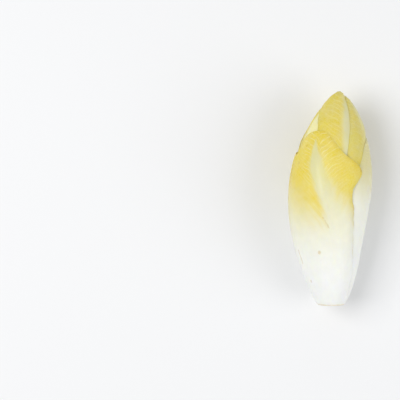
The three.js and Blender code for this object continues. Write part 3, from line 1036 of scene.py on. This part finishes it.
def grow_leaf(index, skin, puckered=1.0):
    """Makes one leaf and puts it in the place of its plain solid"""
    leaf = LEAVES[index]
    piece = leaf_sheet(index)
    shape_by_nodes(
        piece,
        leaf_relief,
        {
            "Vein Height": VEIN_HEIGHT,
            "Vein Spacing": VEIN_SPACING,
            "Pucker Height": PUCKER_HEIGHT * puckered,
            "Pucker Size": PUCKER_SIZE,
            "Ridge Height": RIDGE_HEIGHT,
            "Top": float(leaf["tip"]),
            "Seed": float(index),
            "Skin": skin,
        },
    )
    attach(piece, "root")
    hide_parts(leaf["name"])


# The leaves' colour. The flesh is white below and along the midrib, and the blade turns from ivory to
# yellow upwards, deeper at its margin, with paler side veins and a few brown flecks of age.
WHITE_FLESH = srgb(247, 248, 243)
VEIN_PALE = srgb(243, 234, 176)
# The brown of age. Along the head's left side it also paints the shade where another head lay close.
AGE_AND_SHADE_BROWN = srgb(204, 166, 76)
MIDRIB_CHANGE = (12, 104)
FLECK_LIMIT = 0.86
RIM_DEEPENING = 0.35
NET_STRENGTH = 0.14
STREAKINESS = 0.55
MARK_WOBBLE = 1.2
FIBRE_WIDTH = 0.5
FIBRE_LENGTH = 14
SKIN_GRAIN = 0.35
SKIN_BUMP = 0.16
LEAF_IOR = 1.42


def leaf_colour_group():
    """The blade's colours, clouded and mottled"""
    inputs = {label: "Float" for label in ("Blade", "Margin", "Along", "Vein", "Net", "Veining", "Mottle")}
    inputs |= {label: "Color" for label in ("White", "Yellow", "Deep", "Midrib")}
    group, given, result = new_group("leaf_colour", "ShaderNodeTree", inputs, {"Color": "Color"})
    blade = given["Blade"]
    height_share = ease(group, given["Along"], *MIDRIB_CHANGE)
    low = blend_colours(group, height_share, given["White"], given["Midrib"])
    yellow = blend_colours(group, blade, low, given["Yellow"])
    rim = product(group, ease(group, given["Margin"], 4, 0, 0, RIM_DEEPENING), blade)
    deep = blend_colours(group, rim, yellow, given["Deep"])
    drawn = product(group, given["Vein"], product(group, blade, given["Veining"]))
    veined = blend_colours(group, drawn, deep, VEIN_PALE)
    netted = product(group, given["Net"], product(group, blade, NET_STRENGTH))
    fine = blend_colours(group, netted, veined, VEIN_PALE)
    spot = object_place(group)
    grainy = less(group, noise(group, spot, 380, 2), 0.5)
    mottled = calculate(group, "MULTIPLY_ADD", grainy, given["Mottle"], 1.0)
    cloud = ease(group, noise(group, spot, 95, 3), 0.3, 0.7, 0.96, 1.04)
    cloudy = add_node(
        group,
        "ShaderNodeHueSaturation",
        {
            "Hue": ease(group, noise(group, spot, 60, 2), 0.3, 0.7, 0.498, 0.502),
            "Saturation": product(group, cloud, mottled),
            "Value": ease(group, noise(group, spot, 160, 3), 0.3, 0.7, 0.985, 1.01),
            "Color": fine,
        },
    )
    group.links.new(cloudy.outputs[0], result["Color"])
    return group


def age_group():
    """Where the leaf has browned: scattered flecks, and ragged stretches of its very edge, one partly
    painted shade
    """
    inputs = {label: "Float" for label in ("Across", "Along", "Aged", "Seed", "Flecks")}
    group, given, result = new_group("leaf_age", "ShaderNodeTree", inputs, {"Brown": "Float"})
    where = vector(group, given["Across"], given["Along"], given["Seed"])
    cells = add_node(group, "ShaderNodeTexVoronoi", {"Vector": where, "Scale": 0.3})
    chosen = add_node(group, "ShaderNodeSeparateColor", {0: cells.outputs["Color"]})
    few = calculate(group, "GREATER_THAN", chosen.outputs[0], FLECK_LIMIT)
    size = calculate(group, "MULTIPLY_ADD", chosen.outputs[1], 0.1, 0.05)
    round_fleck = less(group, size, cells.outputs["Distance"])
    flecks = product(group, ease(group, round_fleck, -0.02, 0.05), few, given["Flecks"])
    ragged = ease(group, noise(group, where, 0.9, 3), 0.3, 0.65, 0.35, 1.0)
    edge = product(group, given["Aged"], ragged)
    group.links.new(calculate(group, "MAXIMUM", flecks, edge), result["Brown"])
    return group


leaf_colour = leaf_colour_group()
leaf_age = age_group()


def vector_math(tree, operation, *values):
    return add_node(tree, "ShaderNodeVectorMath", dict(enumerate(values)), operation=operation).outputs


def stroke_distance(tree, spot, corners):
    """Distance from a line through corners"""
    nearest = None
    for first, last in zip(corners, corners[1:]):
        line = last - first
        away = vector_math(tree, "SUBTRACT", spot, tuple(first))[0]
        along = vector_math(tree, "DOT_PRODUCT", away, tuple(line / (line @ line)))["Value"]
        share = calculate(tree, "MAXIMUM", calculate(tree, "MINIMUM", along, 1.0), 0.0)
        scaling = {0: tuple(line), "Scale": share}
        foot = add_node(tree, "ShaderNodeVectorMath", scaling, operation="SCALE").outputs[0]
        distance = vector_math(tree, "DISTANCE", away, foot)["Value"]
        nearest = distance if nearest is None else calculate(tree, "MINIMUM", nearest, distance)
    return nearest


def add_marks(tree, colour, marks):
    """Small brown marks on the outer surface, those on the left leaf partly painted shade. Each is a half
    width, a strength and a ragged stroke through places given as height and azimuth."""
    spot = object_place(tree)
    wobble = add_node(tree, "ShaderNodeTexNoise", {"Vector": spot, "Scale": 700, "Detail": 2})
    centred = vector_math(tree, "SUBTRACT", wobble.outputs["Color"], (0.5, 0.5, 0.5))[0]
    moved = vector_math(tree, "MULTIPLY_ADD", centred, (MARK_WOBBLE * MM,) * 3, spot)[0]
    for half_width, strength, *stroke in marks:
        heights, azimuths = np.array(stroke, float).T
        corners = place(heights, azimuths, head_radius(heights, azimuths)) * MM
        distance = stroke_distance(tree, moved, corners)
        tint = ease(tree, distance, half_width * MM, 0.25 * half_width * MM, 0.0, strength)
        colour = blend_colours(tree, tint, colour, AGE_AND_SHADE_BROWN)
    return colour


def leaf_material(name, look, seed, top, marks=()):
    """A leaf's skin. The look holds its colours and the strength of its veins, mottle, flecks and gloss."""
    material, tree, shader = new_material(f"skin_{name}")
    across, along, margin = (pattern_value(tree, label) for label in ("across", "along", "margin"))
    vein_inputs = {"Across": across, "Along": along, "Top": top, "Spacing": VEIN_SPACING, "Seed": seed}
    veins = place_group(tree, side_veins_colour, vein_inputs)
    plain_blade = pattern_value(tree, "blade")
    between = product(tree, plain_blade, less(tree, 1.0, plain_blade))
    streak = product(tree, veins["Streak"], STREAKINESS)
    blade = calculate(tree, "MULTIPLY_ADD", between, streak, plain_blade)
    colour = place_group(
        tree,
        leaf_colour,
        {
            "Blade": blade,
            "Margin": margin,
            "Along": along,
            "Vein": veins["Vein"],
            "Net": veins["Net"],
            "Veining": look["veining"],
            "Mottle": look["mottle"],
            "White": WHITE_FLESH,
            "Yellow": look["yellow"],
            "Deep": look["deep"],
            "Midrib": look["midrib"],
        },
    )["Color"]
    aged = pattern_value(tree, "aged")
    age_inputs = {"Across": across, "Along": along, "Aged": aged, "Seed": seed, "Flecks": look["flecks"]}
    colour = blend_colours(tree, place_group(tree, leaf_age, age_inputs)["Brown"], colour, AGE_AND_SHADE_BROWN)
    if marks:
        colour = add_marks(tree, colour, marks)
    tree.links.new(with_cut_tone(tree, colour), shader.inputs["Base Color"])

    line = vector(tree, ratio(tree, across, FIBRE_WIDTH), ratio(tree, along, FIBRE_LENGTH), seed)
    fibre = noise(tree, line, 1.0, 3)
    grain = noise(tree, object_place(tree), 1900, 3)
    leafy = total(tree, product(tree, veins["Vein"], 0.5), product(tree, veins["Net"], 0.5))
    relief = total(tree, product(tree, leafy, blade), product(tree, grain, SKIN_GRAIN))
    height = calculate(tree, "MULTIPLY_ADD", fibre, less(tree, 0.9, blade), relief)
    bump_inputs = {"Height": height, "Strength": 0.55, "Distance": SKIN_BUMP * MM}
    bump = add_node(tree, "ShaderNodeBump", bump_inputs)
    tree.links.new(bump.outputs[0], shader.inputs["Normal"])
    matt = ease(tree, blade, 0.0, 1.0, *look["gloss"])
    rough = total(tree, matt, ease(tree, grain, 0.25, 0.75, -0.05, 0.06))
    tree.links.new(rough, shader.inputs["Roughness"])
    shader.inputs["IOR"].default_value = LEAF_IOR
    let_light_in(shader, 0.3, (1.0, 0.85, 0.35), 1.0)
    return material


# The outer leaves, four of them. They are the thickest, white and fleshy for half their length, and
# only their upper blades turn yellow. The one in front shows nearly whole.
OUTER_LOOK = {
    "yellow": srgb(231, 210, 85),
    "deep": srgb(228, 198, 72),
    "midrib": srgb(224, 218, 158),
    "flecks": 0.0,
    "veining": 0.5,
    "mottle": 0.12,
    "gloss": (0.36, 0.46),
}
# The leaves on the right side and underneath get a greyer, paler copy of this look: painted shade, for the
# grey of the side that faces away from the broad lamp.
SHADED_SIDE_LOOK = {
    **OUTER_LOOK,
    "yellow": srgb(220, 212, 156),
    "deep": srgb(210, 200, 138),
    "midrib": srgb(234, 233, 212),
}
FRONT_MARKS = [
    (1.5, 0.4, (36.4, -15.8), (37.0, -15.6)),
    (1.1, 0.35, (16.4, -48.7), (17.0, -48.5)),
    (1.8, 0.7, (89.4, 46.2), (90.6, 45.4)),
    (0.9, 0.45, (105.0, -51.2), (105.6, -51.0)),
    (0.9, 0.4, (93.8, -58.1), (94.4, -57.9)),
    (0.75, 0.35, (59.7, -9.4), (58.1, -6.9), (56.4, -4.2), (54.8, -2.3), (53.1, 0)),
    (0.75, 0.35, (37.0, -60.8), (35.0, -60.1), (32.1, -58.1), (29.8, -58.2), (28.5, -57.9)),
]
# Two faint tan streaks down the leaf at the head's left side: partly browned edge, partly painted shade
# where another head lay close.
LEFT_BROWN_AND_SHADE_MARKS = [
    (3.4, 0.17, (46, -85), (62, -84), (78, -82), (92, -80)),
    (3.4, 0.2, (58, -84), (70, -83), (86, -81)),
]
LEAF_MARKS = {"outer_leaf_front": FRONT_MARKS, "outer_leaf_left": LEFT_BROWN_AND_SHADE_MARKS}
OUTER_LOOKS = {"outer_leaf_front": OUTER_LOOK, "outer_leaf_left": OUTER_LOOK}


def grow_group(group, looks, usual_look, marks, puckered=1.0):
    """Makes each leaf of a group in a skin of its own"""
    for index, leaf in enumerate(LEAVES):
        if leaf["group"] is group:
            name = leaf["name"]
            look = looks.get(name, usual_look)
            skin = leaf_material(name, look, float(index), float(leaf["tip"]), marks.get(name, ()))
            grow_leaf(index, skin, puckered)


grow_group(OUTER, OUTER_LOOKS, SHADED_SIDE_LOOK, LEAF_MARKS)


# The middle leaves, five of them. Their tips close the head's point. They are thinner and yellower, and
# their blades are more puckered between the veins.
MIDDLE_PUCKERING = 1.3
MIDDLE_LOOK = {
    "yellow": srgb(226, 208, 98),
    "deep": srgb(218, 198, 84),
    "midrib": srgb(222, 217, 168),
    "flecks": 0.35,
    "veining": 0.3,
    "mottle": 0.28,
    "gloss": (0.38, 0.5),
}
PALE_LOOK = {**MIDDLE_LOOK, "midrib": srgb(243, 236, 178)}
OLIVE_LOOK = {**MIDDLE_LOOK, "yellow": srgb(220, 205, 104), "deep": srgb(214, 200, 114)}
MIDDLE_LOOKS = {"middle_leaf_right": OLIVE_LOOK, "middle_leaf_left": PALE_LOOK}

grow_group(MIDDLE, MIDDLE_LOOKS, MIDDLE_LOOK, {}, MIDDLE_PUCKERING)


# The inner leaves, seven of them, wrapped ever tighter round the bud. They stay pale yellow, because no
# light reaches them, and only their tips may show.
INNER_LOOK = {
    "yellow": srgb(236, 220, 120),
    "deep": srgb(230, 208, 100),
    "midrib": srgb(240, 236, 196),
    "flecks": 0.0,
    "veining": 0.4,
    "mottle": 0.15,
    "gloss": (0.4, 0.5),
}
INNER_SEED = 20.0
INNER_TOP = 130.0

inner_skin = leaf_material("inner_leaves", INNER_LOOK, INNER_SEED, INNER_TOP)
for index, leaf in enumerate(LEAVES):
    if leaf["group"] is INNER:
        grow_leaf(index, inner_skin)


# The bud in the heart. The youngest leaves, folded round each other in a spiral too tightly to part.
# It stands a little clear of the inner leaves, above the stem.
BUD_FOOT = 31
BUD_TIP = 114
BUD_GAP = 0.6
BUD_FOLDS = 5
BUD_FOLD_DEPTH = 0.9
BUD_TWIST = 2.2
BUD_LEAST_RADIUS = 1.2
BUD_PATTERN_RADIUS = 5
BUD_INSIDE = 20.0
BUD_YELLOW = (50, 90)
BUD_SIDES = 120
BUD_RINGS = 90
BUD_SEED = 21.0

shares = np.arange(1, BUD_RINGS) / BUD_RINGS
bud_height = np.repeat(BUD_FOOT + (BUD_TIP - BUD_FOOT) * shares, BUD_SIDES)
bud_azimuth = np.tile(np.arange(BUD_SIDES) * 360 / BUD_SIDES, BUD_RINGS - 1)
layers, radius, depth, squeeze = layers_at(bud_height, bud_azimuth)
fold = np.sin(np.radians((bud_azimuth + BUD_TWIST * bud_height) * BUD_FOLDS))
crease = BUD_FOLD_DEPTH * (0.5 + 0.5 * fold)
closing = np.repeat(np.sin(math.pi * shares ** 0.8) ** 0.6, BUD_SIDES)
bud_radius = np.maximum(radius - squeeze * depth - BUD_GAP - crease, BUD_LEAST_RADIUS) * closing
bud_ends = [place(height, 0, 0) for height in (BUD_FOOT, BUD_TIP)]
bud_points = np.concatenate([place(bud_height, bud_azimuth, bud_radius), np.stack(bud_ends)])
bud_values = {
    "across": np.concatenate([np.radians(bud_azimuth) * BUD_PATTERN_RADIUS, [0, 0]]),
    "along": np.concatenate([bud_height, [BUD_FOOT, BUD_TIP]]),
    "margin": np.full(len(bud_points), BUD_INSIDE),
    "blade": np.concatenate([smoothstep(*BUD_YELLOW, bud_height), [0, 1]]),
    "aged": np.zeros(len(bud_points)),
}
bud = mesh_object("folded_bud", bud_points, ring_faces(BUD_RINGS - 1, BUD_SIDES), bud_values)
bud.data.materials.append(leaf_material("folded_bud", INNER_LOOK, BUD_SEED, float(BUD_TIP)))
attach(bud, "root")
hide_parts("heart_bud")
